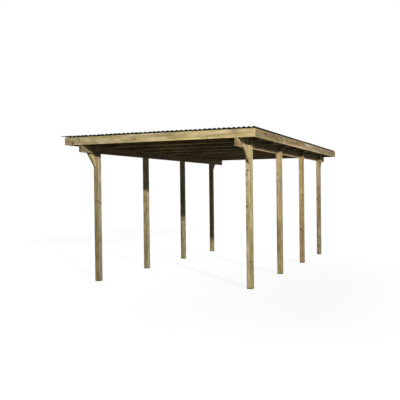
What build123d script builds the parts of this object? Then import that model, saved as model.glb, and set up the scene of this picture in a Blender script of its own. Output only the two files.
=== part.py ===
from build123d import *
import math
import os

# An open timber carport: two rows of posts, a beam let into each row, rafters across the beams,
# fascia boards round them and dark corrugated sheets on top.
# X runs across the bay, Y from front to rear, Z up. Lengths are in millimetres.

# Posts
POST_WIDTH = 90
POST_CHAMFER = 4
ROW_SPACING = 2710
POST_SPACING = 1645
POSTS_PER_ROW = 4
HEADROOM = 2145

# Beams, let into the inner half of the post heads
BEAM_THICKNESS = 45
BEAM_HEIGHT = 120
BEAM_FRONT_SETBACK = 2
BEAM_REAR_SETBACK = 46

# Knee braces, boards that lie against the beams' outer faces
BRACE_THICKNESS = 28
BRACE_WIDTH = 170
BRACE_ANGLE = 48
BRACE_DROP = 245

# Roof frame; the overhangs run from the posts' centres to the fascia boards' outer faces
FRONT_OVERHANG = 507
REAR_OVERHANG = 678
SIDE_OVERHANG = 268
ROOF_RISE_PER_METRE = 5
RAFTER_COUNT = 9
RAFTER_THICKNESS = 45
RAFTER_HEIGHT = 125
FASCIA_THICKNESS = 22
FASCIA_HEIGHT = 120
FASCIA_CLEARANCE = 1
FASCIA_JOINT = 2
SIDE_BOARDS = 4
BOARD_CHAMFER = 2

# Corrugated sheets
WAVE_PITCH = 76
WAVE_DEPTH = 18
FLANK_LENGTH = 24
SHEET_THICKNESS = 1.5
SHEETS_ACROSS = 4
SHEET_ROW_NAMES = ("front", "rear")
END_LAP = 150
LAP_CLEARANCE = 0.3
SHEET_SIDE_OVERHANG = 54
SHEET_END_OVERHANG = 20

# Places worked out from the sizes above, with Y = 0 at the first posts' centre
ROW_X = ROW_SPACING / 2
SLOPE = math.degrees(math.atan(ROOF_RISE_PER_METRE / 1000))
ROOF_LENGTH = FRONT_OVERHANG + (POSTS_PER_ROW - 1) * POST_SPACING + REAR_OVERHANG
ROOF_WIDTH = ROW_SPACING + 2 * SIDE_OVERHANG
FASCIA_FRONT = -FRONT_OVERHANG
FASCIA_REAR = FASCIA_FRONT + ROOF_LENGTH
FRAME_FRONT = FASCIA_FRONT + FASCIA_THICKNESS
FRAME_REAR = FASCIA_REAR - FASCIA_THICKNESS
FRAME_WIDTH = ROOF_WIDTH - 2 * FASCIA_THICKNESS
RAFTER_STEP = (FRAME_REAR - FRAME_FRONT - RAFTER_THICKNESS) / (RAFTER_COUNT - 1)
RAFTER_TOP = BEAM_HEIGHT + RAFTER_HEIGHT
FASCIA_BOTTOM = BEAM_HEIGHT + FASCIA_CLEARANCE

# A half wave is an arc between two half flanks, and the flanks are straight
HALF_PITCH = WAVE_PITCH / 2
HALF_DEPTH = WAVE_DEPTH / 2
FLANK_ANGLE = 2 * math.atan(WAVE_DEPTH / (HALF_PITCH + FLANK_LENGTH))
WAVE_RADIUS = (HALF_PITCH - FLANK_LENGTH * math.cos(FLANK_ANGLE)) / (2 * math.sin(FLANK_ANGLE))

# Sheets have whole waves, except that the last is cut off at the right fascia. Each laps its left
# neighbour by one wave, and where four meet they lie on each other.
COVERED_WAVES = (ROOF_WIDTH + SHEET_SIDE_OVERHANG) / WAVE_PITCH
SHEET_WAVES = math.ceil((COVERED_WAVES + SHEETS_ACROSS - 1) / SHEETS_ACROSS)
SHEET_WIDTH = SHEET_WAVES * WAVE_PITCH
SHEET_STEP = SHEET_WIDTH - WAVE_PITCH
SHEET_ROWS = len(SHEET_ROW_NAMES)
LAP_LIFT = (SHEET_THICKNESS + LAP_CLEARANCE) / math.cos(FLANK_ANGLE)
ROW_LIFT = 2 * LAP_LIFT
SHEET_LEFT = -ROOF_WIDTH / 2 - SHEET_SIDE_OVERHANG
SHEET_FRONT = FASCIA_FRONT - SHEET_END_OVERHANG
COVERED_LENGTH = ROOF_LENGTH + 2 * SHEET_END_OVERHANG
SHEET_LENGTH = (COVERED_LENGTH + (SHEET_ROWS - 1) * END_LAP) / SHEET_ROWS
ROW_STEP = SHEET_LENGTH - END_LAP

# The origin is on the ground under the middle of the whole roof
CENTRE_X = (SHEET_LEFT + ROOF_WIDTH / 2) / 2
CENTRE_Y = FASCIA_FRONT + ROOF_LENGTH / 2
TO_ORIGIN = Pos(-CENTRE_X, -CENTRE_Y, 0)

# The roof frame leans with the beams: its own Z = 0 is their underside
ROOF_FRAME = Pos(0, 0, HEADROOM) * Rot(SLOPE, 0, 0)


def between(first, second):
    """A range in rising order."""
    return (min(first, second), max(first, second))


def span(centre, width):
    return (centre - width / 2, centre + width / 2)


def block(x_range, y_range, z_range):
    """A square-edged block between two values on each axis."""
    sizes = [high - low for low, high in (x_range, y_range, z_range)]
    corner = (x_range[0], y_range[0], z_range[0])
    return Pos(*corner) * Box(*sizes, align=(Align.MIN, Align.MIN, Align.MIN))


def timber(x_range, y_range, z_range, grain, chamfer_width=BOARD_CHAMFER):
    """A planed timber whose four edges along the grain are chamfered."""
    sawn = block(x_range, y_range, z_range)
    return chamfer(sawn.edges().filter_by(grain), chamfer_width)


def post_y(number):
    return number * POST_SPACING


def beam_underside(y):
    """Height of the beams' underside above the ground."""
    return HEADROOM + y * ROOF_RISE_PER_METRE / 1000


def beam_range(side):
    """X range of a row's beam: its inner face is flush with the posts' inner faces."""
    inner = ROW_X - POST_WIDTH / 2
    return between(side * inner, side * (inner + BEAM_THICKNESS))


def brace_range(side):
    """X range of a row's knee braces: they lie against the beam's outer face."""
    inner = ROW_X - POST_WIDTH / 2 + BEAM_THICKNESS
    return between(side * inner, side * (inner + BRACE_THICKNESS))


def space_above_beams(side, y_range):
    """What is cut from a row's posts and braces so that the rafters clear them."""
    deep = (BEAM_HEIGHT, BEAM_HEIGHT + 2 * BRACE_WIDTH + 2 * POST_WIDTH)
    return ROOF_FRAME * block(span(side * ROW_X, 3 * POST_WIDTH), y_range, deep)


def make_post(side, number):
    """A square post with its head rebated for the beam and cut off under the rafters."""
    y_range = span(post_y(number), POST_WIDTH)
    reach = span(post_y(number), 2 * POST_WIDTH)
    top = beam_underside(y_range[1]) + BEAM_HEIGHT + POST_WIDTH
    stock = timber(span(side * ROW_X, POST_WIDTH), y_range, (0, top), Axis.Z, POST_CHAMFER)
    rebate = ROOF_FRAME * block(beam_range(side), reach, (0, BEAM_HEIGHT + 2 * POST_WIDTH))
    return stock - rebate - space_above_beams(side, reach)


def make_beam(side):
    ends = (FASCIA_FRONT + BEAM_FRONT_SETBACK, FASCIA_REAR - BEAM_REAR_SETBACK)
    return ROOF_FRAME * timber(beam_range(side), ends, (0, BEAM_HEIGHT), Axis.Y)


def make_brace(side, number, facing):
    """A knee brace from a post's face up to the rafters; facing is -1 to the front, 1 to the rear."""
    face = post_y(number) + facing * POST_WIDTH / 2
    foot = beam_underside(face) - BRACE_DROP
    length = (BRACE_DROP + BEAM_HEIGHT + BRACE_WIDTH) / math.sin(math.radians(BRACE_ANGLE))
    along = between(-facing * BRACE_WIDTH, facing * length)
    board = timber(brace_range(side), along, (0, BRACE_WIDTH), Axis.Y)
    leaning = Pos(0, face, foot) * Rot(facing * BRACE_ANGLE, 0, 0) * board
    post_side = block(brace_range(side), between(face, face - facing * length), (0, 2 * HEADROOM))
    return leaning - post_side - space_above_beams(side, span(face, 3 * length))


def rafter_y(number):
    """Y of a rafter's middle; the first and last lie against the fascia boards."""
    return FRAME_FRONT + RAFTER_THICKNESS / 2 + number * RAFTER_STEP


def make_rafter(number):
    y_range = span(rafter_y(number), RAFTER_THICKNESS)
    return ROOF_FRAME * timber(span(0, FRAME_WIDTH), y_range, (BEAM_HEIGHT, RAFTER_TOP), Axis.X)


def board_ranges(cuts):
    """Ranges between neighbouring cuts, each shortened by half a joint where it meets another."""
    ranges = []
    for low, high in zip(cuts, cuts[1:]):
        start = low if low == cuts[0] else low + FASCIA_JOINT / 2
        end = high if high == cuts[-1] else high - FASCIA_JOINT / 2
        ranges.append((start, end))
    return ranges


def end_board_ranges():
    """X ranges of the front or rear boards, jointed over the middle of each beam."""
    joint = ROW_X - POST_WIDTH / 2 + BEAM_THICKNESS / 2
    return board_ranges([-ROOF_WIDTH / 2, -joint, joint, ROOF_WIDTH / 2])


def side_board_ranges():
    """Y ranges of the side boards, jointed on the rafters' ends."""
    rafters = [round(k * (RAFTER_COUNT - 1) / SIDE_BOARDS) for k in range(1, SIDE_BOARDS)]
    return board_ranges([FRAME_FRONT] + [rafter_y(number) for number in rafters] + [FRAME_REAR])


def make_end_board(x_range, outer_y, inner_y):
    z_range = (FASCIA_BOTTOM, FASCIA_BOTTOM + FASCIA_HEIGHT)
    return ROOF_FRAME * timber(x_range, between(outer_y, inner_y), z_range, Axis.X)


def make_side_board(side, y_range):
    x_range = between(side * FRAME_WIDTH / 2, side * ROOF_WIDTH / 2)
    z_range = (FASCIA_BOTTOM, FASCIA_BOTTOM + FASCIA_HEIGHT)
    return ROOF_FRAME * timber(x_range, y_range, z_range, Axis.Y)


def wave_line(offset):
    """The edges of a sheet's wavy line, moved out from its middle line by an offset."""
    steep = math.sin(FLANK_ANGLE)
    level = math.cos(FLANK_ANGLE)
    edge_point = (-offset * steep, 0, offset * level)
    edges = []
    for half_wave in range(2 * SHEET_WAVES):
        up = 1 if half_wave % 2 == 0 else -1
        radius = WAVE_RADIUS + up * offset
        middle = (half_wave + 0.5) * HALF_PITCH
        height = up * (HALF_DEPTH - WAVE_RADIUS + radius * level)
        start = (middle - radius * steep, 0, height)
        end = (middle + radius * steep, 0, height)
        edges.append(Line(edge_point, start))
        edges.append(ThreePointArc(start, (middle, 0, up * HALF_DEPTH + offset), end))
        edge_point = end
    edges.append(Line(edge_point, (SHEET_WIDTH - offset * steep, 0, offset * level)))
    return edges


def make_sheet_blank():
    """A whole sheet: its valleys' undersides are at Z = 0 and its front left corner at the origin."""
    upper = wave_line(SHEET_THICKNESS / 2)
    lower = wave_line(-SHEET_THICKNESS / 2)
    left_edge = Line(lower[0] @ 0, upper[0] @ 0)
    right_edge = Line(lower[-1] @ 1, upper[-1] @ 1)
    section = make_face(upper + lower + [left_edge, right_edge])
    blank = extrude(section, amount=SHEET_LENGTH, dir=(0, 1, 0))
    return Pos(0, 0, HALF_DEPTH + SHEET_THICKNESS / 2) * blank


def make_sheet(blank, row, column):
    """A sheet on the rafters: each lies on its left neighbour, and the rear row on the front one."""
    lean_across = math.degrees(math.atan(LAP_LIFT / SHEET_STEP))
    lean_along = math.degrees(math.atan(ROW_LIFT / ROW_STEP))
    place = Pos(SHEET_LEFT + column * SHEET_STEP, SHEET_FRONT + row * ROW_STEP, RAFTER_TOP)
    low_corner = Pos(SHEET_WIDTH, SHEET_LENGTH, 0)
    lean = low_corner * Rot(-lean_along, lean_across, 0) * low_corner.inverse()
    sheet = place * lean * blank
    if column == SHEETS_ACROSS - 1:
        past_fascia = (ROOF_WIDTH / 2, ROOF_WIDTH / 2 + SHEET_WIDTH)
        lengthwise = (2 * SHEET_FRONT, 2 * FASCIA_REAR)
        sheet = sheet - block(past_fascia, lengthwise, (0, 2 * RAFTER_TOP))
    return ROOF_FRAME * sheet


def build_parts():
    """Every piece of the carport by its name."""
    parts = {}
    for name, side in {"left": -1, "right": 1}.items():
        for number in range(POSTS_PER_ROW):
            parts[f"post_{name}_{number + 1}"] = make_post(side, number)
        parts[f"beam_{name}"] = make_beam(side)
        parts[f"brace_front_{name}"] = make_brace(side, 0, -1)
        parts[f"brace_rear_{name}"] = make_brace(side, POSTS_PER_ROW - 1, 1)
        for number, y_range in enumerate(side_board_ranges()):
            parts[f"fascia_{name}_{number + 1}"] = make_side_board(side, y_range)
    for number in range(RAFTER_COUNT):
        parts[f"rafter_{number + 1}"] = make_rafter(number)
    for name, x_range in zip(("left", "middle", "right"), end_board_ranges()):
        parts[f"fascia_front_{name}"] = make_end_board(x_range, FASCIA_FRONT, FRAME_FRONT)
        parts[f"fascia_rear_{name}"] = make_end_board(x_range, FASCIA_REAR, FRAME_REAR)
    blank = make_sheet_blank()
    for row, row_name in enumerate(SHEET_ROW_NAMES):
        for column in range(SHEETS_ACROSS):
            parts[f"sheet_{row_name}_{column + 1}"] = make_sheet(blank, row, column)
    return parts


os.makedirs("parts", exist_ok=True)
for part_name, solid in build_parts().items():
    export_step(TO_ORIGIN * solid, f"parts/{part_name}.step")
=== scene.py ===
import bmesh
import bpy
import math
import random
from mathutils import Matrix, Vector
from mathutils.bvhtree import BVHTree


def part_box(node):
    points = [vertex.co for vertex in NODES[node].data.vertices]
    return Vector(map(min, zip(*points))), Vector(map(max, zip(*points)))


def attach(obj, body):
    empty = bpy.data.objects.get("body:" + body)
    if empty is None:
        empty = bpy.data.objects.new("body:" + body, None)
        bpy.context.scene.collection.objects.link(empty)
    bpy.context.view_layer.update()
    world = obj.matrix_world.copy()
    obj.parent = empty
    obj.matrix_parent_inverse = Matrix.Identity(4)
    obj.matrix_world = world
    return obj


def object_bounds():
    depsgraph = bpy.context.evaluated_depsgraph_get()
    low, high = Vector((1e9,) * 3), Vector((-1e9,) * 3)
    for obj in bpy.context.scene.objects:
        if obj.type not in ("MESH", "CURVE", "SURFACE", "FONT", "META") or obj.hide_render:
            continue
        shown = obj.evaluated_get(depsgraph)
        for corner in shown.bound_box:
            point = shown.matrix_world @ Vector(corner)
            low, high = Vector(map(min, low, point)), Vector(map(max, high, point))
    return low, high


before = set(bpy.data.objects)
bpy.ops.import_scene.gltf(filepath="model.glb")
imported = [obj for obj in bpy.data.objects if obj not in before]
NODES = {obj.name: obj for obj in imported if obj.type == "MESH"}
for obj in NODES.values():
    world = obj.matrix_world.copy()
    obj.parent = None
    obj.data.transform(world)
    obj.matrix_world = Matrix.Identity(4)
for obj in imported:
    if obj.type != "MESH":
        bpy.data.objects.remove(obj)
CAD_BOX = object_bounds()

# Lengths are in metres. X runs across the bay, Y from front to rear, Z up.

# The photograph's camera
IMAGE_SIDE = 400
SENSOR = 36
FOCAL_LENGTH_PX = 569.3
VIEW_CENTRE_PX = (233.7, 198.7)
CAMERA_PLACE = Vector((4.213, -10.743, 1.483))
CAMERA_YAW = 0.3606
CAMERA_PITCH = 0.0126
CAMERA_ROLL = 0.0113
CLIP_END = 500

# Light
KEY_DIRECTION = Vector((0.64, -0.64, 0.228))
KEY_STRENGTH = 3.7
KEY_SPREAD = math.radians(1.5)
INNER_KEY_DIRECTION = Vector((0.44, -0.85, 0.302))
INNER_KEY_STRENGTH = 2.7
GROUND_STRENGTH = 3.0
FILL_DIRECTION = Vector((-0.62, 0.66, 0.42))
FILL_STRENGTH = 3.2
FILL_SPREAD = math.radians(50)
TOP_STRENGTH = 0.7
TOP_SPREAD = math.radians(140)
SKY_STRENGTH = 0.015
SKY_COLOUR = (0.94, 0.97, 1, 1)
WHITE = (1, 1, 1, 1)

# Numbers of the CAD nodes
POSTS = range(1, 5)
RAFTERS = range(1, 10)
JOINTED_RAFTERS = (3, 5, 7)

# The inner key lights these in place of the key, which would reach them from the right side, where
# the photograph has them in shade.
INNER_TIMBERS = ["post_left_3", "post_left_4"] + [f"rafter_{number}" for number in RAFTERS]

# The sunlit ground throws light up at the lower faces of these boards and of the right beam, and
# the boards also get painted light along their lower edges.
SUNNY_BOARDS = ("fascia_front", "fascia_right")
SUNNY_TIMBERS = [name for name in NODES if name.startswith(("beam_right", *SUNNY_BOARDS))]

# Floor
FLOOR_SIDE = 120
FLOOR_GLOW = 0.84
FLOOR_SHADE = 0.2
FLOOR_BOUNCE = 0.2

# Corrugated sheets, as the CAD nodes have them
WAVE_PITCH = 0.076
FIRST_CREST = 0.019
CREST_RADIUS = 0.0173

# Knee braces
BRACE_SLOPE = math.radians(48)

# Fixings
CREST_FIXING_STEP = 4
CREST_SCREW_WANDER = 0.006
FASCIA_SCREW_RISE = 0.034
FASCIA_SCREW_WANDER = 0.004
JOINT_SCREW_SIDE = 0.013
END_BOARD_SCREW_INSET = 0.022
END_BOARD_SCREW_STEP = 0.52
COACH_OFFSET = (0.018, 0.03)
COACH_TURN = 0.3

# Brace screws: above the beam's lower edge and in from the brace's slanted edge, and up that edge
BRACE_TO_BEAM_SCREWS = ((0.045, 0.055), (0.045, 0.165), (0.09, 0.11))
BRACE_TO_POST_SCREWS = (0.075, 0.13)


def srgb(red, green, blue):
    """A colour that is written in display values from 0 to 255, as Blender's linear values."""
    values = [v / 255 for v in (red, green, blue)]
    linear = [v / 12.92 if v <= 0.04045 else ((v + 0.055) / 1.055) ** 2.4 for v in values]
    return (*linear, 1)


# Finishes
SAPWOOD = srgb(167, 152, 106)
HEARTWOOD = srgb(173, 145, 103)
LATEWOOD = srgb(126, 104, 64)
GREEN_STAIN = srgb(112, 104, 60)
BLEACHED = srgb(196, 178, 148)
KNOT_WOOD = srgb(108, 85, 53)
KNOT_RIM = srgb(72, 53, 33)
KNOT_HALO = srgb(132, 111, 72)
END_GRAIN = srgb(140, 118, 78)
CRACK = srgb(52, 40, 27)
# The sheets' underside, painted near-black as painted shade
SHEET_UNDERSIDE_SHADE = srgb(9, 9, 10)
SHEET_TOP = srgb(44, 45, 48)
SHEET_DUST = srgb(88, 85, 77)
ZINC = srgb(168, 168, 160)
YELLOW_ZINC = srgb(150, 130, 84)
DULL_ZINC = srgb(92, 88, 76)
SEAL_BLACK = srgb(24, 24, 25)


# Small helpers for node trees

def feed(tree, node, sockets):
    """Gives a node's sockets their values: a number, a colour, a vector or another node's output."""
    for name, value in sockets.items():
        if isinstance(value, bpy.types.NodeSocket):
            tree.links.new(value, node.inputs[name])
        else:
            node.inputs[name].default_value = value


def add(tree, kind, sockets, **settings):
    """A new node with these values in its sockets, and these settings of its own."""
    made = tree.nodes.new(kind)
    for name, value in settings.items():
        setattr(made, name, value)
    feed(tree, made, sockets)
    return made


def maths(tree, operation, first, second=0.0):
    return add(tree, "ShaderNodeMath", {0: first, 1: second}, operation=operation).outputs[0]


def vector_maths(tree, operation, first, second=(0, 0, 0)):
    return add(tree, "ShaderNodeVectorMath", {0: first, 1: second}, operation=operation).outputs[0]


def length(tree, vector):
    return add(tree, "ShaderNodeVectorMath", {0: vector}, operation="LENGTH").outputs["Value"]


def dot(tree, first, second):
    made = add(tree, "ShaderNodeVectorMath", {0: first, 1: second}, operation="DOT_PRODUCT")
    return made.outputs["Value"]


def along_axes(tree, vector):
    """A vector's three values, along X, Y and Z."""
    return add(tree, "ShaderNodeSeparateXYZ", {0: vector}).outputs


def grey(tree, value):
    return add(tree, "ShaderNodeCombineColor", {0: value, 1: value, 2: value}).outputs[0]


def ramp(tree, value, low, high, to_low=0.0, to_high=1.0):
    """A smooth step from to_low to to_high while the value goes from low to high."""
    sockets = {"Value": value, "From Min": low, "From Max": high, "To Min": to_low, "To Max": to_high}
    return add(tree, "ShaderNodeMapRange", sockets, interpolation_type="SMOOTHSTEP").outputs[0]


def blend(tree, factor, first, second, how="MIX"):
    """A mix of two colours."""
    sockets = {0: factor, 6: first, 7: second}
    return add(tree, "ShaderNodeMix", sockets, data_type="RGBA", blend_type=how).outputs[2]


def noise(tree, place, stretch, detail=2.0, roughness=0.5):
    """Noise over a place whose axes are stretched first."""
    stretched = vector_maths(tree, "MULTIPLY", place, stretch)
    sockets = {"Vector": stretched, "Scale": 1.0, "Detail": detail, "Roughness": roughness}
    return add(tree, "ShaderNodeTexNoise", sockets)


def new_finish(name):
    """A material with an empty tree but for its shader and output."""
    finish = bpy.data.materials.new(name)
    finish.use_nodes = True
    tree = finish.node_tree
    tree.nodes.clear()
    shader = add(tree, "ShaderNodeBsdfPrincipled", {})
    add(tree, "ShaderNodeOutputMaterial", {"Surface": shader.outputs[0]})
    return finish, tree, shader


def object_place(tree):
    return tree.nodes.new("ShaderNodeTexCoord").outputs["Object"]


def object_axes(tree):
    """The place's three values, along X, Y and Z."""
    return along_axes(tree, object_place(tree))


def turned_to(tree, direction):
    """How much a face is turned to a direction, from -1 to 1."""
    normal = tree.nodes.new("ShaderNodeTexCoord").outputs["Normal"]
    return dot(tree, normal, direction)


# Timber

# The log: rings, knots, the heartwood's edge and cracks
RING_WIDTH = 0.0034
RING_WANDER = 0.014
RING_UNEVENNESS = 1.6
LATE_WOOD = (0.35, 0.88)
RING_END = (0.9, 1.0)
KNOTS_PER_METRE = 2.4
KNOT_SPREAD = 0.8
KNOT_SIZES = (0.002, 0.027)
OWN_KNOT_BEND = 0.012
KNOT_BEND_FADE = 0.22
NO_KNOT = 9.0
KNOT_CORE_REACH = (0.7, 1.0, 0.8, 0.0)
KNOT_RIM_REACH = (0.9, 1.2, 0.8, 0.0)
KNOT_HALO_REACH = (1.1, 2.2, 0.6, 0.0)
HEART_WANDER = 0.05
HEART_EDGE = (-0.009, 0.007)
CRACK_WIDTH = 0.005
CRACK_COVER = 0.8

# How often each noise varies along the log and across it, in a metre
FIBRES = (3.0, 210, 210)
HEART_EDGES = (0.8, 6, 6)
STAINS = (1.7, 13, 13)
BLEACHED_STREAKS = (1.3, 17, 17)
PATCHES = (1.4, 10, 10)
BLOTCHES = (6, 26, 26)
STREAKS = (0.9, 36, 36)
CRACKS = (0.7, 16, 16)
CRACKED_STRETCHES = (1.1, 9, 9)
SWAYS = (0.9, 5, 5)
UNEVEN_RINGS = (0.5, 60, 60)

# Shifts along the log, so that two noises with like stretches don't go together
BLEACHED_SHIFT = (9, 0, 0)
CRACKED_SHIFT = (5, 0, 0)

# Noise values between which a layer sets in
STAIN_SPAN = (0.35, 0.68)
BLEACHED_SPAN = (0.4, 0.72)
CRACKED_SPAN = (0.58, 0.64)

# Noise values between which a tone changes, and the tones and roughness there
TONE_SPAN = (0.25, 0.75)
FIBRE_SPAN = (0.2, 0.8)
PATCH_TONES = (0.84, 1.14)
BLOTCH_TONES = (0.74, 1.22)
STREAK_TONES = (0.76, 1.2)
FIBRE_TONES = (0.92, 1.07)
FIBRE_ROUGHNESS = (0.62, 0.78)

# How strongly each layer covers the wood's colour
RING_COVER = 0.55
PALE_COVER = 0.6
END_COVER = 0.55
END_TURN = (0.85, 0.95)

# The surface: its gloss, its relief, and each layer's share of the relief's height
TIMBER_GLOSS = 0.06
RELIEF_STRENGTH = 0.5
RELIEF_HEIGHT = 0.0012
RING_RISE = 0.35
FIBRE_RISE = 0.5
KNOT_RISE = 0.6
CRACK_DROP = 1.5

# Weathering, painted light and painted shade: places in metres, and the tone or stain there as a
# share of the timber's own
PALE_END = 0.04
PALEST_END = 0.012
POST_HEIGHTS = (0.0, 2.0)
FOOT_TONE = 0.84
HEAD_TONE = 1.1
# Painted shade on the upper parts of the third and fourth left posts
HEAD_SHADE_TONES = {"post_left_3": 0.8, "post_left_4": 0.68}
# A thin dark band at the very foot of each post
DARK_FOOT_BAND = (0.006, 0.024)
FOOT_BAND_TONE = 0.4
# Painted shade just under the roof, on the right posts and the right front brace
ROOF_SHADE_HEIGHTS = (2.16, 2.21)
ROOF_SHADE_TONE = 0.5
STAIN_HEIGHTS = (0.3, 1.5)
FOOT_STAIN = 1.4
HEAD_STAIN = 0.3
FRONT_LEFT = (-1.6, 0.6)
LEFT_TONE = 0.78
ROOF_SLOPE = 0.005
# Painted light along the lower edges of the sunny boards
LIT_EDGE_HEIGHTS = (2.288, 2.304)
FRONT_EDGE_TONE = 1.25
SIDE_EDGE_TONE = 1.6
# Painted light on the rafters' undersides and painted shade on their flanks
RAFTER_UNDERSIDE = (-0.9, -0.5)
LIT_UNDERSIDE_TONE = 2.3
SHADED_FLANK_TONE = 0.76
FACE_TURN = (0.5, 0.7)
# Where along Y the right beam's painted light and shade begin, behind its first post
PAST_FIRST_POST = (-2.65, -2.5)

# Ranges of the pith's distance from the timber's middle, and how far along the log it was cut
POST_PITHS = (0.012, 0.05)
BOARD_PITHS = (0.02, 0.075)
LOG_REACH = 6

# The timbers whose looks the photograph shows: how pale each one is, how far from the pith its
# heartwood reaches, and how green its stain, how bleached its streaks and how dark its knots are
LOOKS = {
    "post_left_1": (0.65, 0.03, 0.35, 0.25, 0.3),
    "post_left_2": (0.91, 0.03, 0.35, 0.3, 0.4),
    "post_left_3": (0.99, 0.03, 0.4, 0.3, 0.4),
    "post_left_4": (1.15, 0.015, 0.5, 0.3, 0.4),
    "post_right_1": (1.27, 0.03, 0.3, 0.8, 0.25),
    "post_right_2": (1.22, 0.03, 0.75, 0.4, 0.35),
    "post_right_3": (1.1, 0.08, 0.15, 0.1, 0.3),
    "post_right_4": (0.79, 0.04, 0.2, 0.75, 0.35),
    "brace_front_left": (1.26, 0.02, 0.35, 0.3, 0.6),
    "brace_front_right": (1.5, 0.01, 0.2, 0.6, 0.6),
    "beam_left": (0.68, 0.06, 0.3, 0.3, 0.6),
    "beam_right": (0.95, 0.08, 0.05, 0.2, 0.6),
    "fascia_front_left": (1.16, 0.03, 0.4, 0.6, 0.5),
    "fascia_front_middle": (1.38, 0.04, 0.15, 0.6, 0.3),
    "fascia_front_right": (1.44, 0.03, 0.05, 0.3, 0.4),
    "fascia_right_1": (0.72, 0.05, 0.35, 0.4, 0.8),
    "fascia_right_2": (0.75, 0.05, 0.3, 0.5, 0.6),
    "fascia_right_3": (0.68, 0.03, 0.15, 1.0, 0.6),
    "fascia_right_4": (0.52, 0.04, 0.2, 0.8, 0.8),
}

# The faces that are paler or darker than the rest of their timber: their directions and tones. The
# posts' faces towards +X get painted light and shade, the right beam painted shade on its outer
# face and painted light on its underside, and the left brace painted shade on its lower face. The
# left beam's front end is darker. The left posts' inner faces are made paler and greyer as well.
FACE_TONES = {
    "post_left_1": [((1, 0, 0), 1.12)],
    "post_left_2": [((1, 0, 0), 0.92)],
    "post_left_3": [((1, 0, 0), 1.3)],
    "post_left_4": [((1, 0, 0), 1.3)],
    "post_right_1": [((1, 0, 0), 0.93)],
    "post_right_2": [((1, 0, 0), 0.8)],
    "post_right_3": [((1, 0, 0), 0.8)],
    "post_right_4": [((1, 0, 0), 0.72)],
    "beam_left": [((0, -1, 0), 0.6)],
    "beam_right": [((1, 0, 0), 0.36), ((0, 0, -1), 1.5)],
    "brace_front_left": [((0, -math.sin(BRACE_SLOPE), -math.cos(BRACE_SLOPE)), 0.45)],
}

# Other draws than the usual one, for the timbers whose streaks the photograph shows best
LOG_DRAWS = {
    "post_left_1": 12,
    "post_left_2": 3,
    "post_left_3": 19,
    "post_left_4": 12,
    "post_right_1": 6,
    "post_right_2": 17,
    "post_right_3": 1,
    "post_right_4": 10,
    "brace_front_left": 2,
    "brace_front_right": 11,
    "beam_left": 4,
    "fascia_front_left": 4,
    "fascia_right_1": 17,
    "fascia_right_2": 19,
    "fascia_right_3": 5,
    "fascia_right_4": 7,
}

# Knots at known places on the posts: a point on the surface and the knot's radius
OWN_KNOTS = {
    "post_left_1": [
        (-1.283, -2.541, 1.315, 0.015),
        (-1.290, -2.598, 1.350, 0.010),
        (-1.354, -2.598, 0.709, 0.010),
    ],
    "post_right_1": [
        (1.375, -2.598, 1.799, 0.013),
        (1.348, -2.598, 1.739, 0.014),
        (1.427, -2.530, 1.681, 0.013),
        (1.350, -2.598, 1.595, 0.010),
        (1.346, -2.598, 1.254, 0.020),
        (1.346, -2.598, 0.928, 0.012),
        (1.402, -2.598, 0.412, 0.012),
    ],
    "post_right_2": [
        (1.340, -0.953, 0.724, 0.014),
    ],
    "post_right_3": [
        (1.427, 0.738, 1.776, 0.012),
        (1.407, 0.692, 1.385, 0.012),
        (1.369, 0.692, 0.686, 0.018),
        (1.420, 0.692, 0.643, 0.012),
    ],
    "post_right_4": [
        (1.425, 2.337, 1.354, 0.020),
        (1.350, 2.337, 1.310, 0.014),
        (1.370, 2.337, 0.192, 0.013),
    ],
}

# Ranges from which the looks of the other timbers are drawn
RAFTER_LOOK = ((0.8, 0.96), (0.02, 0.05), (0.75, 1.0), (0.0, 0.15), (0.25, 0.5))
USUAL_LOOK = ((0.86, 1.04), (0.02, 0.07), (0.1, 0.45), (0.2, 0.6), (0.5, 1.0))


def softwood_group():
    """Planed softwood, cut from a log whose pith runs along X: colour, roughness and height."""
    tree = bpy.data.node_groups.new("softwood", "ShaderNodeTree")
    interface = tree.interface
    interface.new_socket("Place", in_out="INPUT", socket_type="NodeSocketVector")
    for name in ("Facing", "Paled", "Tone", "Heart", "Stain", "Bleach", "Knots", "Own Knot"):
        interface.new_socket(name, in_out="INPUT", socket_type="NodeSocketFloat")
    interface.new_socket("Color", in_out="OUTPUT", socket_type="NodeSocketColor")
    for name in ("Roughness", "Height"):
        interface.new_socket(name, in_out="OUTPUT", socket_type="NodeSocketFloat")
    given = tree.nodes.new("NodeGroupInput").outputs
    place = wandering_log(tree, given["Place"])
    knot = knots(tree, place, given["Knots"], given["Own Knot"])
    rings = growth_rings(tree, place, knot)
    fibre = noise(tree, place, FIBRES, detail=3.0).outputs[0]
    crack = drying_cracks(tree, place)
    colour = heart_and_sap(tree, place, given["Heart"])
    colour = blend(tree, maths(tree, "MULTIPLY", rings, RING_COVER), colour, LATEWOOD)
    colour = weathered(tree, place, colour, given["Stain"], given["Bleach"])
    colour = blend(tree, maths(tree, "MULTIPLY", given["Paled"], PALE_COVER), colour, BLEACHED)
    end = ramp(tree, given["Facing"], *END_TURN)
    colour = blend(tree, maths(tree, "MULTIPLY", end, END_COVER), colour, END_GRAIN)
    colour = blend(tree, knot["halo"], colour, KNOT_HALO)
    colour = blend(tree, knot["rim"], colour, KNOT_RIM)
    colour = blend(tree, knot["core"], colour, KNOT_WOOD)
    colour = blend(tree, crack, colour, CRACK)
    shade = maths(tree, "MULTIPLY", mottle(tree, place, fibre), given["Tone"])
    colour = blend(tree, 1.0, colour, grey(tree, shade), "MULTIPLY")
    height = maths(tree, "MULTIPLY", rings, RING_RISE)
    height = maths(tree, "ADD", height, maths(tree, "MULTIPLY", fibre, FIBRE_RISE))
    height = maths(tree, "ADD", height, maths(tree, "MULTIPLY", knot["core"], KNOT_RISE))
    height = maths(tree, "SUBTRACT", height, maths(tree, "MULTIPLY", crack, CRACK_DROP))
    roughness = ramp(tree, fibre, *FIBRE_SPAN, *FIBRE_ROUGHNESS)
    add(tree, "NodeGroupOutput", {"Color": colour, "Roughness": roughness, "Height": height})
    return tree


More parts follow.
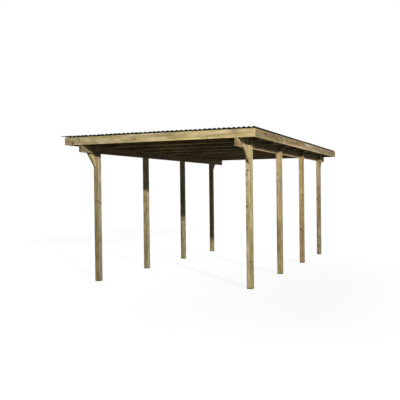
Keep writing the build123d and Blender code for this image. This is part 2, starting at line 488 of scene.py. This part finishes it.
def heart_and_sap(tree, place, heart):
    """Brown heartwood near the pith, paler sapwood round it, with a wandering edge between them."""
    radius, _ = radius_of(tree, place)
    wander = noise(tree, place, HEART_EDGES).outputs[0]
    shift = maths(tree, "MULTIPLY", maths(tree, "SUBTRACT", wander, 0.5), HEART_WANDER)
    depth = maths(tree, "SUBTRACT", maths(tree, "ADD", radius, shift), heart)
    return blend(tree, ramp(tree, depth, *HEART_EDGE, 1.0, 0.0), SAPWOOD, HEARTWOOD)


def weathered(tree, place, colour, stain, bleach):
    """Green stain of the preservative in patches, and bleached streaks."""
    wash = noise(tree, place, STAINS, detail=3.0).outputs[0]
    amount = maths(tree, "MULTIPLY", ramp(tree, wash, *STAIN_SPAN), stain)
    colour = blend(tree, amount, colour, GREEN_STAIN)
    elsewhere = vector_maths(tree, "ADD", place, BLEACHED_SHIFT)
    pale = noise(tree, elsewhere, BLEACHED_STREAKS).outputs[0]
    amount = maths(tree, "MULTIPLY", ramp(tree, pale, *BLEACHED_SPAN), bleach)
    return blend(tree, amount, colour, BLEACHED)


def mottle(tree, place, fibre):
    """How pale the timber is from place to place, in patches, streaks and fibres."""
    shade = ramp(tree, fibre, *FIBRE_SPAN, *FIBRE_TONES)
    for stretch, tones in ((PATCHES, PATCH_TONES), (BLOTCHES, BLOTCH_TONES), (STREAKS, STREAK_TONES)):
        layer = ramp(tree, noise(tree, place, stretch).outputs[0], *TONE_SPAN, *tones)
        shade = maths(tree, "MULTIPLY", shade, layer)
    return shade


def drying_cracks(tree, place):
    """Thin cracks along the grain, in some stretches of the timber only."""
    line = noise(tree, place, CRACKS, detail=1.0).outputs[0]
    nearness = maths(tree, "ABSOLUTE", maths(tree, "SUBTRACT", line, 0.5))
    elsewhere = vector_maths(tree, "ADD", place, CRACKED_SHIFT)
    stretch = noise(tree, elsewhere, CRACKED_STRETCHES, detail=1.0).outputs[0]
    thin = ramp(tree, nearness, 0.0, CRACK_WIDTH, CRACK_COVER, 0.0)
    return maths(tree, "MULTIPLY", thin, ramp(tree, stretch, *CRACKED_SPAN))


def wandering_log(tree, place):
    """The place, shifted a little sideways along the log, as no log is straight."""
    sway = noise(tree, place, SWAYS).outputs["Color"]
    centred = vector_maths(tree, "SUBTRACT", sway, (0.5, 0.5, 0.5))
    shift = vector_maths(tree, "MULTIPLY", centred, (0, 2 * RING_WANDER, 2 * RING_WANDER))
    return vector_maths(tree, "ADD", place, shift)


def radius_of(tree, place):
    """Distance from the pith, and the direction from it as a vector with no X."""
    across = vector_maths(tree, "MULTIPLY", place, (0, 1, 1))
    return length(tree, across), vector_maths(tree, "NORMALIZE", across)


def knots(tree, place, strength, own_reach):
    """Branches that leave the pith: each knot is a cell of a Voronoi pattern over length and
    direction. A timber's own knots, at given places, are as dark as can be."""
    radius, direction = radius_of(tree, place)
    along = vector_maths(tree, "MULTIPLY", place, (KNOTS_PER_METRE, 0, 0))
    spread = vector_maths(tree, "MULTIPLY", direction, (KNOT_SPREAD,) * 3)
    where = vector_maths(tree, "ADD", along, spread)
    cells = add(tree, "ShaderNodeTexVoronoi", {"Vector": where, "Scale": 1.0, "Randomness": 1.0})
    offset = vector_maths(tree, "SUBTRACT", where, cells.outputs["Position"])
    sides = maths(tree, "DIVIDE", radius, KNOT_SPREAD)
    metric = add(tree, "ShaderNodeCombineXYZ", {0: 1 / KNOTS_PER_METRE, 1: sides, 2: sides}).outputs[0]
    distance = length(tree, vector_maths(tree, "MULTIPLY", offset, metric))
    chance = add(tree, "ShaderNodeSeparateColor", {0: cells.outputs["Color"]}).outputs[0]
    size = ramp(tree, maths(tree, "POWER", chance, 2.0), 0.0, 1.0, *KNOT_SIZES)
    reach = maths(tree, "DIVIDE", distance, size)
    own = maths(tree, "LESS_THAN", own_reach, reach)
    reach = maths(tree, "MINIMUM", own_reach, reach)
    strength = maths(tree, "MAXIMUM", strength, own)
    size = maths(tree, "MAXIMUM", size, maths(tree, "MULTIPLY", own, OWN_KNOT_BEND))
    return {
        "size": size,
        "reach": reach,
        "core": maths(tree, "MULTIPLY", ramp(tree, reach, *KNOT_CORE_REACH), strength),
        "rim": maths(tree, "MULTIPLY", ramp(tree, reach, *KNOT_RIM_REACH), strength),
        "halo": maths(tree, "MULTIPLY", ramp(tree, reach, *KNOT_HALO_REACH), strength),
    }


def growth_rings(tree, place, knot):
    """0 in the pale early wood and 1 in the dark late wood, with rings that bend round the knots."""
    radius, _ = radius_of(tree, place)
    square = maths(tree, "POWER", knot["reach"], 2.0)
    fade = maths(tree, "POWER", math.e, maths(tree, "MULTIPLY", square, -KNOT_BEND_FADE))
    bend = maths(tree, "MULTIPLY", fade, knot["size"])
    count = maths(tree, "DIVIDE", maths(tree, "ADD", radius, bend), RING_WIDTH)
    uneven = noise(tree, place, UNEVEN_RINGS, detail=1.0).outputs[0]
    count = maths(tree, "ADD", count, maths(tree, "MULTIPLY", uneven, RING_UNEVENNESS))
    phase = maths(tree, "FRACT", count)
    rise = ramp(tree, phase, *LATE_WOOD)
    fall = ramp(tree, phase, *RING_END, 1.0, 0.0)
    return maths(tree, "MULTIPLY", rise, fall)


def board_end(tree, name, grain):
    """1 at the ends of a side board, which dry out pale, and 0 along it."""
    low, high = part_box(name)
    half = (high - low).dot(grain) / 2
    centre = (high + low).dot(grain) / 2
    along = dot(tree, object_place(tree), grain)
    distance = maths(tree, "ABSOLUTE", maths(tree, "SUBTRACT", along, centre))
    return ramp(tree, distance, half - PALE_END, half - PALEST_END)


def shaded_and_weathered_tone(tree, name, tone):
    """Posts darken towards their feet, where rain splashes, and have a thin dark band at the very
    foot. The third and fourth left posts get painted shade on their upper parts, and the right
    posts and the right front brace painted shade just under the roof. The front boards darken
    towards the left, and the sunny boards get painted light along their lower edges. Rafters get
    painted light on their undersides and painted shade on their flanks."""
    across, along, height = object_axes(tree)
    if name.startswith("post"):
        # Painted shade on the upper parts of the third and fourth left posts
        head = HEAD_SHADE_TONES.get(name, HEAD_TONE)
        # A thin dark band at the very foot
        foot_band = ramp(tree, height, *DARK_FOOT_BAND, FOOT_BAND_TONE, 1.0)
        tone = ramp(tree, height, *POST_HEIGHTS, FOOT_TONE * tone, head * tone)
        tone = maths(tree, "MULTIPLY", tone, foot_band)
    # Painted shade of the roof on the right posts' heads and the right front brace
    if name.startswith(("post_right", "brace_front_right")):
        shade = ramp(tree, height, *ROOF_SHADE_HEIGHTS, 1.0, ROOF_SHADE_TONE)
        tone = maths(tree, "MULTIPLY", shade, tone)
    if name.startswith("fascia_front"):
        tone = ramp(tree, across, *FRONT_LEFT, LEFT_TONE * tone, tone)
    # Painted light along the sunny boards' lower edges
    if name.startswith(SUNNY_BOARDS):
        edge_tone = FRONT_EDGE_TONE if name.startswith("fascia_front") else SIDE_EDGE_TONE
        above = maths(tree, "SUBTRACT", height, maths(tree, "MULTIPLY", along, ROOF_SLOPE))
        tone = maths(tree, "MULTIPLY", ramp(tree, above, *LIT_EDGE_HEIGHTS, edge_tone, 1.0), tone)
    # Painted light on the undersides and painted shade on the flanks
    if name.startswith("rafter"):
        upward = turned_to(tree, (0, 0, 1))
        tone = ramp(tree, upward, *RAFTER_UNDERSIDE, LIT_UNDERSIDE_TONE * tone, SHADED_FLANK_TONE * tone)
    return tone


def on_face(tree, name, direction):
    """1 on a timber's face in this direction, and 0 on its others. The right beam's faces count only
    behind its first post, so that its painted light and shade start there."""
    side = ramp(tree, turned_to(tree, direction), *FACE_TURN)
    if name != "beam_right":
        return side
    return maths(tree, "MULTIPLY", side, ramp(tree, object_axes(tree)[1], *PAST_FIRST_POST))


def nearest_own_knot(tree, name):
    """How far the nearest of a timber's own knots is, in its radii."""
    reach = NO_KNOT
    for x, y, z, radius in OWN_KNOTS.get(name, []):
        offset = vector_maths(tree, "SUBTRACT", object_place(tree), (x, y, z))
        own_reach = maths(tree, "DIVIDE", length(tree, offset), radius)
        reach = maths(tree, "MINIMUM", own_reach, reach)
    return reach


def timber_finish(name, softwood, grain, pith, look):
    """Softwood for one timber: its grain's direction, a point on its pith, and its own look."""
    finish, tree, shader = new_finish(f"timber_{name}")
    turn = grain.to_track_quat("X", "Z").to_euler()
    mapping = {"Vector": object_place(tree), "Location": pith, "Rotation": turn}
    local = add(tree, "ShaderNodeMapping", mapping, vector_type="TEXTURE").outputs[0]
    tone, heart, stain, bleach, knottiness = look
    tone = shaded_and_weathered_tone(tree, name, tone)
    paled = 0.0
    # Painted light and shade on single faces; the left posts' inner faces are also made paler and
    # greyer
    for direction, face_tone in FACE_TONES.get(name, []):
        side = on_face(tree, name, direction)
        tone = maths(tree, "MULTIPLY", tone, ramp(tree, side, 0.0, 1.0, 1.0, face_tone))
        if name.startswith("post_left"):
            paled = side
    if name.startswith("post"):
        height = object_axes(tree)[2]
        stain = ramp(tree, height, *STAIN_HEIGHTS, FOOT_STAIN * stain, HEAD_STAIN * stain)
    if name.startswith(("fascia_left", "fascia_right")):
        paled = board_end(tree, name, grain)
    group = tree.nodes.new("ShaderNodeGroup")
    group.node_tree = softwood
    feed(tree, group, {
        "Place": local,
        "Facing": maths(tree, "ABSOLUTE", turned_to(tree, grain)),
        "Paled": paled,
        "Tone": tone,
        "Heart": heart,
        "Stain": stain,
        "Bleach": bleach,
        "Knots": knottiness,
        "Own Knot": nearest_own_knot(tree, name),
    })
    height = group.outputs["Height"]
    relief = {"Strength": RELIEF_STRENGTH, "Distance": RELIEF_HEIGHT, "Height": height}
    bump = add(tree, "ShaderNodeBump", relief)
    feed(tree, shader, {
        "Base Color": group.outputs["Color"],
        "Roughness": group.outputs["Roughness"],
        "Normal": bump.outputs[0],
        "Specular IOR Level": TIMBER_GLOSS,
    })
    return finish


def grain_of(name):
    """The direction of a timber's grain, from its node's name."""
    if name.startswith("post"):
        return Vector((0, 0, 1))
    if name.startswith("brace_front"):
        return Vector((0, -math.cos(BRACE_SLOPE), math.sin(BRACE_SLOPE)))
    if name.startswith("brace_rear"):
        return Vector((0, math.cos(BRACE_SLOPE), math.sin(BRACE_SLOPE)))
    if name.startswith(("rafter", "fascia_front", "fascia_rear")):
        return Vector((1, 0, 0))
    return Vector((0, 1, 0))


def pith_of(name, grain, draw):
    """A point on the pith of the log that a timber was cut from, near its middle or outside it."""
    low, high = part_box(name)
    angle = draw.uniform(0, 2 * math.pi)
    distance = draw.uniform(*(POST_PITHS if name.startswith("post") else BOARD_PITHS))
    side = grain.orthogonal().normalized()
    across = Matrix.Rotation(angle, 3, grain) @ side
    return (low + high) / 2 + across * distance + grain * draw.uniform(-LOG_REACH, LOG_REACH)


def dress_timbers():
    """Each timber gets softwood of its own."""
    softwood = softwood_group()
    for name in sorted(NODES):
        if name.startswith("sheet"):
            continue
        draw = random.Random(f"{name}{LOG_DRAWS.get(name, '')}")
        grain = grain_of(name)
        pith = pith_of(name, grain, draw)
        spans = RAFTER_LOOK if name.startswith("rafter") else USUAL_LOOK
        usual = [draw.uniform(*span) for span in spans]
        finish = timber_finish(name, softwood, grain, pith, LOOKS.get(name, usual))
        NODES[name].material_slots[0].material = finish


# Roof sheets

# How often each noise varies along X, Y and Z, in a metre
SHEET_STREAKS = (46, 1.6, 3)
SHEET_CLOUDS = (2.2, 1.3, 2)
SHEET_SPECKLES = (260, 260, 260)

# The wave's cosine between a dusty valley and a clean flank, and the dust in clouds and streaks:
# noise values, and how much dust there is at each
VALLEY = (-1.0, 0.4)
DUST_CLOUDS = (0.35, 0.75, 0.1, 0.75)
DUST_STREAKS = (0.55, 0.8, 0.0, 0.25)
DUST_COVER = 0.5

# The surface: noise values with the roughness at each, and what dust and the underside add to it
CLOUD_ROUGHNESS = (0.3, 0.7, 0.5, 0.62)
DUST_ROUGHNESS = 0.5
UNDERSIDE_ROUGHNESS = 0.2
SHEET_GLOSS = 0.04
SPECKLE_STRENGTH = 0.25
SPECKLE_HEIGHT = 0.0006


def sheet_finish():
    """Black sheet: a weathered top with dust in its valleys, and a clean, dull underside painted
    near-black as painted shade.
    """
    finish, tree, shader = new_finish("dark_sheet")
    place = object_place(tree)
    top = ramp(tree, turned_to(tree, (0, 0, 1)), 0.0, 0.5)
    left = CAD_BOX[0].x + FIRST_CREST
    from_left = maths(tree, "SUBTRACT", along_axes(tree, place)[0], left)
    turn = maths(tree, "MULTIPLY", from_left, 2 * math.pi / WAVE_PITCH)
    valley = ramp(tree, maths(tree, "COSINE", turn), *VALLEY, 1.0, 0.0)
    streaks = noise(tree, place, SHEET_STREAKS, detail=3.0).outputs[0]
    cloud = noise(tree, place, SHEET_CLOUDS, detail=4.0, roughness=0.6).outputs[0]
    speckle = noise(tree, place, SHEET_SPECKLES, detail=1.0).outputs[0]
    dust = maths(tree, "MULTIPLY", valley, ramp(tree, cloud, *DUST_CLOUDS))
    dust = maths(tree, "ADD", dust, ramp(tree, streaks, *DUST_STREAKS))
    dust = maths(tree, "MULTIPLY", dust, maths(tree, "MULTIPLY", top, DUST_COVER))
    # The underside is painted near-black as painted shade
    top_and_shaded_underside = blend(tree, top, SHEET_UNDERSIDE_SHADE, SHEET_TOP)
    under = maths(tree, "SUBTRACT", 1.0, top)
    rough = ramp(tree, cloud, *CLOUD_ROUGHNESS)
    rough = maths(tree, "ADD", rough, maths(tree, "MULTIPLY", under, UNDERSIDE_ROUGHNESS))
    rough = maths(tree, "ADD", rough, maths(tree, "MULTIPLY", dust, DUST_ROUGHNESS))
    grain = {"Strength": SPECKLE_STRENGTH, "Distance": SPECKLE_HEIGHT, "Height": speckle}
    bump = add(tree, "ShaderNodeBump", grain)
    feed(tree, shader, {
        "Base Color": blend(tree, dust, top_and_shaded_underside, SHEET_DUST),
        "Roughness": rough,
        "Normal": bump.outputs[0],
        "Specular IOR Level": SHEET_GLOSS,
    })
    return finish


def dress_sheets():
    finish = sheet_finish()
    for name in sorted(NODES):
        if name.startswith("sheet"):
            NODES[name].material_slots[0].material = finish


# Fixings: each kind is one mesh of many copies

METAL_GRAINS = (420, 420, 420)
GRAIN_SPAN = (0.3, 0.7)
GRAIN_TONES = (0.8, 1.1)
GRAIN_ROUGHNESS = (-0.08, 0.1)
HEX_BEVEL = 0.0006
CREST_DRAW = 7
SCREW_DRAW = 21


def metal_finish(name, colour, metallic=1.0, roughness=0.42):
    """Plated metal or rubber with a mottled surface."""
    finish, tree, shader = new_finish(name)
    grains = noise(tree, object_place(tree), METAL_GRAINS).outputs[0]
    shade = grey(tree, ramp(tree, grains, *GRAIN_SPAN, *GRAIN_TONES))
    rough = [roughness + change for change in GRAIN_ROUGHNESS]
    feed(tree, shader, {
        "Base Color": blend(tree, 1.0, colour, shade, "MULTIPLY"),
        "Roughness": ramp(tree, grains, *GRAIN_SPAN, *rough),
        "Metallic": metallic,
    })
    return finish


def turned(profile, steps=12):
    """A closed shape turned round Z, from (radius, height) points that start and end on Z."""
    shape = bmesh.new()
    angles = [2 * math.pi * step / steps for step in range(steps)]
    rings = []
    for radius, height in profile:
        if radius == 0:
            ring = [shape.verts.new((0, 0, height))] * steps
        else:
            around = [(radius * math.cos(angle), radius * math.sin(angle), height) for angle in angles]
            ring = [shape.verts.new(point) for point in around]
        rings.append(ring)
    for ring, following in zip(rings, rings[1:]):
        for step in range(steps):
            corners = (ring[step - 1], ring[step], following[step], following[step - 1])
            shape.faces.new(list(dict.fromkeys(corners)))
    bmesh.ops.recalc_face_normals(shape, faces=shape.faces)
    return shape


def add_shape(shape, other):
    """Joins another shape into the first and frees it."""
    carrier = bpy.data.meshes.new("carrier")
    other.to_mesh(carrier)
    shape.from_mesh(carrier)
    other.free()
    bpy.data.meshes.remove(carrier)
    return shape


def hexagon_head(radius, low, high):
    shape = bmesh.new()
    centre = Matrix.Translation((0, 0, (low + high) / 2))
    bmesh.ops.create_cone(shape, cap_ends=True, segments=6, radius1=radius, radius2=radius,
                          depth=high - low, matrix=centre)
    top = [face for face in shape.faces if face.normal.z > 0.9]
    edges = list(dict.fromkeys(edge for face in top for edge in face.edges))
    bmesh.ops.bevel(shape, geom=edges, offset=HEX_BEVEL, affect="EDGES", segments=1, profile=0.5,
                    material=-1)
    return shape


def seal_washer():
    """A rubber washer under a crest screw: it lies along the crest and bends down over its sides."""
    top = [(0, 0.0035), (0.0085, 0.0032), (0.012, 0.0016), (0.0125, 0.0002)]
    shape = turned(top + [(0.0125, 0), (0, 0)])
    for vert in shape.verts:
        vert.co.z -= vert.co.x ** 2 / (2 * CREST_RADIUS)
    return shape


def crest_screw():
    """A hexagon head on a steel washer."""
    washer = turned([(0, 0.0046), (0.0072, 0.0042), (0.0078, 0.0034), (0.0078, 0.003), (0, 0.003)])
    return add_shape(washer, hexagon_head(radius=0.0046, low=0.0042, high=0.0095))


def countersunk_head():
    """A flush screw head with a recess."""
    rim = [(0.0047, 0), (0.0045, 0.0004), (0.0024, 0.0004), (0.0018, -0.0016), (0, -0.0018)]
    return turned([(0, -0.003), (0.003, -0.003)] + rim)


def coach_screw():
    """A hexagon head on a round washer."""
    washer = turned([(0, 0), (0.014, 0), (0.014, 0.0018), (0, 0.0018)], steps=16)
    return add_shape(washer, hexagon_head(radius=0.0075, low=0.0018, high=0.0075))


def facing(point, outward, spin=0.0):
    """A place for a fixing at a point, with its head towards the outward direction."""
    turn = Vector(outward).to_track_quat("Z", "Y").to_matrix().to_4x4()
    return Matrix.Translation(point) @ turn @ Matrix.Rotation(spin, 4, "Z")


def place_copies(name, template, places, finish, smooth=False):
    """One piece that holds a copy of the template at each place."""
    joined = bmesh.new()
    for place in places:
        copy = template.copy()
        bmesh.ops.transform(copy, matrix=place, verts=copy.verts)
        add_shape(joined, copy)
    for face in joined.faces:
        face.smooth = smooth
    mesh = bpy.data.meshes.new(name)
    joined.to_mesh(mesh)
    joined.free()
    mesh.materials.append(finish)
    piece = bpy.data.objects.new(name, mesh)
    bpy.context.scene.collection.objects.link(piece)
    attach(piece, "root")


def middle(name):
    low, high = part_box(name)
    return (low + high) / 2


def crest_places():
    """Where the sheets are screwed down: on every few crests, over each rafter."""
    surfaces = []
    for name in sorted(NODES):
        if name.startswith("sheet"):
            mesh = NODES[name].data
            corners = [vert.co.copy() for vert in mesh.vertices]
            faces = [tuple(face.vertices) for face in mesh.polygons]
            surfaces.append(BVHTree.FromPolygons(corners, faces))
    first = CAD_BOX[0].x + FIRST_CREST
    last = CAD_BOX[1].x - FIRST_CREST
    crests = int((last - first) / WAVE_PITCH)
    draw = random.Random(CREST_DRAW)
    places = []
    for number in RAFTERS:
        y = middle(f"rafter_{number}").y
        for crest in range(1, crests + 1, CREST_FIXING_STEP):
            wander = draw.uniform(-CREST_SCREW_WANDER, CREST_SCREW_WANDER)
            above = Vector((first + crest * WAVE_PITCH, y + wander, CAD_BOX[1].z + 1))
            hits = [surface.ray_cast(above, Vector((0, 0, -1)))[0] for surface in surfaces]
            tops = [hit for hit in hits if hit is not None]
            places.append(Matrix.Translation(max(tops, key=lambda hit: hit.z)))
    return places


def side_screw_places(draw):
    """Pairs of screws through the side fascia boards into the rafters' ends."""
    places = []
    for side, name in ((-1, "left"), (1, "right")):
        low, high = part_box(f"fascia_{name}_1")
        face_x = low.x if side < 0 else high.x
        for number in RAFTERS:
            centre = middle(f"rafter_{number}")
            shifts = (-JOINT_SCREW_SIDE, JOINT_SCREW_SIDE) if number in JOINTED_RAFTERS else (0,)
            for shift in shifts:
                for rise in (-FASCIA_SCREW_RISE, FASCIA_SCREW_RISE):
                    z = centre.z + rise + draw.uniform(-FASCIA_SCREW_WANDER, FASCIA_SCREW_WANDER)
                    point = Vector((face_x, centre.y + shift, z))
                    places.append(facing(point, (side, 0, 0), draw.uniform(0, 1)))
    return places


def end_screw_places(draw):
    """Pairs of screws through the front and rear boards into the first and last rafters."""
    places = []
    for side, end in ((-1, "front"), (1, "rear")):
        for part in ("left", "middle", "right"):
            low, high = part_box(f"fascia_{end}_{part}")
            face_y = low.y if side < 0 else high.y
            start = low.x + END_BOARD_SCREW_INSET
            stop = high.x - END_BOARD_SCREW_INSET
            middle_z = (low.z + high.z) / 2
            gaps = max(1, round((stop - start) / END_BOARD_SCREW_STEP))
            for gap in range(gaps + 1):
                x = start + (stop - start) * gap / gaps
                for rise in (-FASCIA_SCREW_RISE, FASCIA_SCREW_RISE):
                    z = middle_z + rise + draw.uniform(-FASCIA_SCREW_WANDER, FASCIA_SCREW_WANDER)
                    places.append(facing(Vector((x, face_y, z)), (0, side, 0), draw.uniform(0, 1)))
    return places


def brace_screw_places(draw):
    """Screws through each brace into the beam behind it, and up through its lower edge into the
    post."""
    places = []
    run = math.cos(BRACE_SLOPE)
    rise = math.sin(BRACE_SLOPE)
    for forward, end in ((-1, "front"), (1, "rear")):
        for side, name in ((-1, "left"), (1, "right")):
            low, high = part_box(f"brace_{end}_{name}")
            post_face = high.y if forward < 0 else low.y
            outer = low.x if side < 0 else high.x
            beam_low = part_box(f"beam_{name}")[0].z
            for above, into in BRACE_TO_BEAM_SCREWS:
                z = beam_low + above
                edge_y = post_face + forward * (z - low.z) * run / rise
                point = Vector((outer, edge_y - forward * into, z))
                places.append(facing(point, (side, 0, 0), draw.uniform(0, 1)))
            for along in BRACE_TO_POST_SCREWS:
                y = post_face + forward * along * run
                point = Vector(((low.x + high.x) / 2, y, low.z + along * rise))
                places.append(facing(point, (0, forward * rise, -run), draw.uniform(0, 1)))
    return places


def post_head_places():
    """Two coach screws through each post head, from outside into the beam."""
    places = []
    for side, name in ((-1, "left"), (1, "right")):
        for number in POSTS:
            low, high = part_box(f"post_{name}_{number}")
            outer = low.x if side < 0 else high.x
            centre_z = high.z - (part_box("rafter_1")[0].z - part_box(f"beam_{name}")[0].z) / 2
            for turn in (-1, 1):
                y = (low.y + high.y) / 2 + turn * COACH_OFFSET[0]
                z = centre_z + turn * COACH_OFFSET[1]
                places.append(facing(Vector((outer, y, z)), (side, 0, 0), COACH_TURN * number * turn))
    return places


def make_fixings():
    draw = random.Random(SCREW_DRAW)
    zinc = metal_finish("zinc_plate", ZINC)
    yellow = metal_finish("yellow_zinc_plate", YELLOW_ZINC)
    dull = metal_finish("dull_zinc_plate", DULL_ZINC, roughness=0.55)
    rubber = metal_finish("black_rubber", SEAL_BLACK, metallic=0.0, roughness=0.7)
    crests = crest_places()
    place_copies("crest_washers", seal_washer(), crests, rubber, smooth=True)
    place_copies("crest_screws", crest_screw(), crests, zinc)
    screws = side_screw_places(draw) + end_screw_places(draw)
    place_copies("fascia_screws", countersunk_head(), screws, yellow)
    place_copies("brace_screws", countersunk_head(), brace_screw_places(draw), yellow)
    place_copies("coach_screws", coach_screw(), post_head_places(), dull)


# Floor, light and camera

def seen_directly(tree):
    """1 for what the camera sees, in a reflection too, and 0 for light that bounces."""
    path = tree.nodes.new("ShaderNodeLightPath")
    seen = maths(tree, "MAXIMUM", path.outputs["Is Camera Ray"], path.outputs["Is Glossy Ray"])
    return maths(tree, "MAXIMUM", seen, path.outputs["Is Transmission Ray"])


def make_floor():
    """A white floor that keeps the object's shadow, and throws little light up at the roof."""
    shape = bmesh.new()
    bmesh.ops.create_grid(shape, x_segments=1, y_segments=1, size=FLOOR_SIDE / 2)
    mesh = bpy.data.meshes.new("floor")
    shape.to_mesh(mesh)
    shape.free()
    floor = bpy.data.objects.new("floor", mesh)
    bpy.context.scene.collection.objects.link(floor)
    finish = bpy.data.materials.new("floor_white")
    finish.use_nodes = True
    tree = finish.node_tree
    tree.nodes.clear()
    glow = add(tree, "ShaderNodeEmission", {"Color": WHITE, "Strength": FLOOR_GLOW})
    shaded = add(tree, "ShaderNodeBsdfDiffuse", {"Color": (FLOOR_SHADE,) * 3 + (1,)})
    seen = add(tree, "ShaderNodeAddShader", {0: glow.outputs[0], 1: shaded.outputs[0]})
    bounce = add(tree, "ShaderNodeBsdfDiffuse", {"Color": (FLOOR_BOUNCE,) * 3 + (1,)})
    sockets = {0: seen_directly(tree), 1: bounce.outputs[0], 2: seen.outputs[0]}
    mixed = add(tree, "ShaderNodeMixShader", sockets)
    add(tree, "ShaderNodeOutputMaterial", {"Surface": mixed.outputs[0]})
    mesh.materials.append(finish)


def make_sky():
    """A white backdrop to the camera, and a dim even sky to everything else."""
    world = bpy.data.worlds.new("sky")
    world.use_nodes = True
    tree = world.node_tree
    tree.nodes.clear()
    backdrop = add(tree, "ShaderNodeBackground", {"Color": WHITE, "Strength": 1.0})
    sky = add(tree, "ShaderNodeBackground", {"Color": SKY_COLOUR, "Strength": SKY_STRENGTH})
    sockets = {0: seen_directly(tree), 1: sky.outputs[0], 2: backdrop.outputs[0]}
    mixed = add(tree, "ShaderNodeMixShader", sockets)
    add(tree, "ShaderNodeOutputWorld", {"Surface": mixed.outputs[0]})
    bpy.context.scene.world = world


def make_lamp(name, direction, strength, spread):
    """A distant lamp in the given direction."""
    lamp = bpy.data.lights.new(name, "SUN")
    lamp.energy = strength
    lamp.angle = spread
    holder = bpy.data.objects.new(name, lamp)
    holder.rotation_euler = direction.to_track_quat("Z", "Y").to_euler()
    bpy.context.scene.collection.objects.link(holder)
    return holder


def link_lamp(lamp, names, state):
    """Lets a lamp light only these nodes, or all but these. The others still cast its shadows."""
    receivers = bpy.data.collections.new(f"{lamp.name}_receivers")
    for name in names:
        receivers.objects.link(NODES[name])
    for receiver in receivers.collection_objects:
        receiver.light_linking.link_state = state
    lamp.light_linking.receiver_collection = receivers


def make_camera():
    """The photograph's camera: place, direction, focal length and the shift of its frame."""
    forward = Vector((
        -math.sin(CAMERA_YAW) * math.cos(CAMERA_PITCH),
        math.cos(CAMERA_YAW) * math.cos(CAMERA_PITCH),
        -math.sin(CAMERA_PITCH),
    ))
    level = Vector((math.cos(CAMERA_YAW), math.sin(CAMERA_YAW), 0))
    down = forward.cross(level)
    right = math.cos(CAMERA_ROLL) * level + math.sin(CAMERA_ROLL) * down
    up = math.sin(CAMERA_ROLL) * level - math.cos(CAMERA_ROLL) * down
    lens = bpy.data.cameras.new("camera")
    lens.sensor_width = SENSOR
    lens.lens = FOCAL_LENGTH_PX / IMAGE_SIDE * SENSOR
    lens.shift_x = (IMAGE_SIDE / 2 - VIEW_CENTRE_PX[0]) / IMAGE_SIDE
    lens.shift_y = (VIEW_CENTRE_PX[1] - IMAGE_SIDE / 2) / IMAGE_SIDE
    lens.clip_end = CLIP_END
    camera = bpy.data.objects.new("camera", lens)
    turn = Matrix((right, up, -forward)).transposed()
    camera.matrix_world = Matrix.Translation(CAMERA_PLACE) @ turn.to_4x4()
    bpy.context.scene.collection.objects.link(camera)
    bpy.context.scene.camera = camera


bpy.context.scene.view_settings.view_transform = "Standard"
make_camera()
make_sky()
make_floor()
key = make_lamp("key", KEY_DIRECTION, KEY_STRENGTH, KEY_SPREAD)
inner_key = make_lamp("inner_key", INNER_KEY_DIRECTION, INNER_KEY_STRENGTH, KEY_SPREAD)
link_lamp(key, INNER_TIMBERS, "EXCLUDE")
link_lamp(inner_key, INNER_TIMBERS, "INCLUDE")
ground = make_lamp("ground", Vector((0, 0, -1)), GROUND_STRENGTH, KEY_SPREAD)
ground.data.use_shadow = False
link_lamp(ground, SUNNY_TIMBERS, "INCLUDE")
make_lamp("fill", FILL_DIRECTION, FILL_STRENGTH, FILL_SPREAD)
make_lamp("top", Vector((0, 0, 1)), TOP_STRENGTH, TOP_SPREAD)
dress_timbers()
dress_sheets()
make_fixings()
